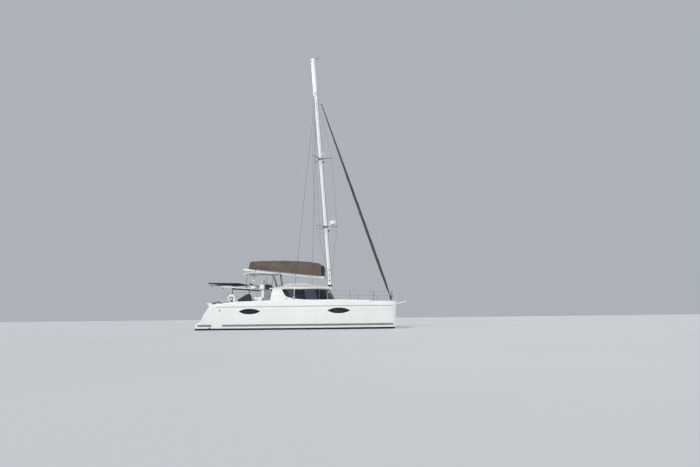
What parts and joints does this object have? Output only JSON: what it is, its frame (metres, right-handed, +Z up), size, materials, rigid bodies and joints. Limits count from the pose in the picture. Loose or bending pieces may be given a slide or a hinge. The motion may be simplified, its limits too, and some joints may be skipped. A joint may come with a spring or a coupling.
{
  "type": "sailing catamaran",
  "caption": "Cruising catamaran with a raked mast, furled headsail, stowed mainsail on the boom, hardtop cockpit and raised helm.",
  "frame": {"origin": "on the waterline and the centre plane, halfway along the waterline of the hulls", "axes": "+X towards the bow, +Y to port, +Z up"},
  "size_m": [13.949, 7.4, 21.366],
  "materials": {
    "gelcoat": "polished white gelcoat over glass fibre laminate",
    "deck": "moulded non-slip gelcoat",
    "antifouling": "dark antifouling paint",
    "engine": "grey green engine enamel",
    "drive": "light grey enamel",
    "bronze": "cast bronze, dull",
    "window_glass": "dark tinted acrylic, nearly opaque",
    "anodised": "anodised frame",
    "cushion": "taupe outdoor fabric",
    "navy_canvas": "navy acrylic canvas",
    "white_fabric": "white coated fabric",
    "taupe_canvas": "faded brown canvas",
    "headsail": "dark grey sail cloth protection strip",
    "spar": "white painted aluminium",
    "stainless": "polished stainless steel",
    "white_plastic": "moulded white plastic",
    "netting": "dark knotless netting",
    "solar": "glazed solar cells in a thin frame",
    "buoy": "white vinyl over foam"
  },
  "bodies": {
    "boat": {"hull_port": "gelcoat", "hull_starboard": "gelcoat", "engine_port": "engine", "engine_starboard": "engine", "keel_port": "antifouling", "keel_starboard": "antifouling", "saildrive_port": "drive", "saildrive_starboard": "drive", "bridgedeck": "gelcoat", "foredeck": "gelcoat", "coachroof_walls": "gelcoat", "saloon_windows": "window_glass", "coachroof_roof": "gelcoat", "saloon_bulkhead": "gelcoat", "aft_crossbeam": "gelcoat", "cockpit_settee": "gelcoat", "settee_cushion": "cushion", "cockpit_table": "deck", "hardtop": "gelcoat", "hardtop_post_port": "stainless", "hardtop_post_starboard": "stainless", "helm_column": "gelcoat", "helm_console": "navy_canvas", "helm_seat": "cushion", "helm_bimini": "white_fabric", "bimini_frame": "stainless", "mast": "spar", "spreaders_lower": "spar", "spreaders_upper": "spar", "diamond_wire_port": "stainless", "diamond_wire_starboard": "stainless", "diamond_wire_forward": "stainless", "cap_shroud_port": "stainless", "cap_shroud_starboard": "stainless", "forestay": "stainless", "furled_headsail": "headsail", "gooseneck": "stainless", "radar_dome": "white_plastic", "crossbeam": "spar", "bowsprit": "spar", "trampoline_port": "netting", "trampoline_starboard": "netting", "guardrail_port": "stainless", "guardrail_starboard": "stainless", "davits": "stainless", "solar_panel": "solar", "horseshoe_buoy": "buoy", "locker_cover": "navy_canvas"},
    "boom": {"boom": "spar", "sail_cover": "taupe_canvas"},
    "rudder_starboard": {"rudder_starboard": "antifouling"},
    "rudder_port": {"rudder_port": "antifouling"},
    "helm_wheel": {"helm_wheel": "stainless"},
    "propeller_starboard": {"propeller_starboard": "bronze"},
    "propeller_port": {"propeller_port": "bronze"},
    "saloon_door": {"saloon_door": "anodised"},
    "engine_hatch_port": {"engine_hatch_port": "deck"},
    "engine_hatch_starboard": {"engine_hatch_starboard": "deck"},
    "locker_lid_port": {"locker_lid_port": "deck"},
    "locker_lid_starboard": {"locker_lid_starboard": "deck"}
  },
  "joints": [
    {"name": "boom_swing", "type": "hinge", "parent": "boat", "child": "boom", "pos_m": [1.72, 0, 3.516], "axis": [-0.0707, 0, 0.9975], "range_deg": [-50, 50]},
    {"name": "rudder_starboard_turn", "type": "hinge", "parent": "boat", "child": "rudder_starboard", "pos_m": [-5.55, -2.72, -0.33], "axis": [0, 0, 1], "range_deg": [-35, 35]},
    {"name": "rudder_port_turn", "type": "hinge", "parent": "boat", "child": "rudder_port", "pos_m": [-5.55, 2.72, -0.33], "axis": [0, 0, 1], "range_deg": [-35, 35]},
    {"name": "helm_wheel_turn", "type": "hinge", "parent": "boat", "child": "helm_wheel", "pos_m": [-2.33, -1.32, 3.01], "axis": [1, 0, 0], "range_deg": [-455, 455]},
    {"name": "propeller_starboard_spin", "type": "hinge", "parent": "boat", "child": "propeller_starboard", "pos_m": [-4.6, -2.72, -0.86], "axis": [1, 0, 0], "continuous": true},
    {"name": "propeller_port_spin", "type": "hinge", "parent": "boat", "child": "propeller_port", "pos_m": [-4.6, 2.72, -0.86], "axis": [1, 0, 0], "continuous": true},
    {"name": "saloon_door_slide", "type": "slide", "parent": "boat", "child": "saloon_door", "axis": [0, 1, 0], "range_m": [0, 0.9]},
    {"name": "engine_hatch_port_lift", "type": "hinge", "parent": "boat", "child": "engine_hatch_port", "pos_m": [-4.075, 2.72, 1.736], "axis": [0, 1, 0], "range_deg": [0, 80]},
    {"name": "engine_hatch_starboard_lift", "type": "hinge", "parent": "boat", "child": "engine_hatch_starboard", "pos_m": [-4.075, -2.72, 1.736], "axis": [0, 1, 0], "range_deg": [0, 80]},
    {"name": "locker_lid_port_lift", "type": "hinge", "parent": "boat", "child": "locker_lid_port", "pos_m": [3.23, 0.83, 1.834], "axis": [0, -1, 0], "range_deg": [0, 80]},
    {"name": "locker_lid_starboard_lift", "type": "hinge", "parent": "boat", "child": "locker_lid_starboard", "pos_m": [3.23, -0.83, 1.834], "axis": [0, -1, 0], "range_deg": [0, 80]}
  ],
  "couplings": [
    {"joint": "rudder_port_turn", "follows": "rudder_starboard_turn", "ratio": 1},
    {"joint": "helm_wheel_turn", "follows": "rudder_starboard_turn", "ratio": 13}
  ]
}
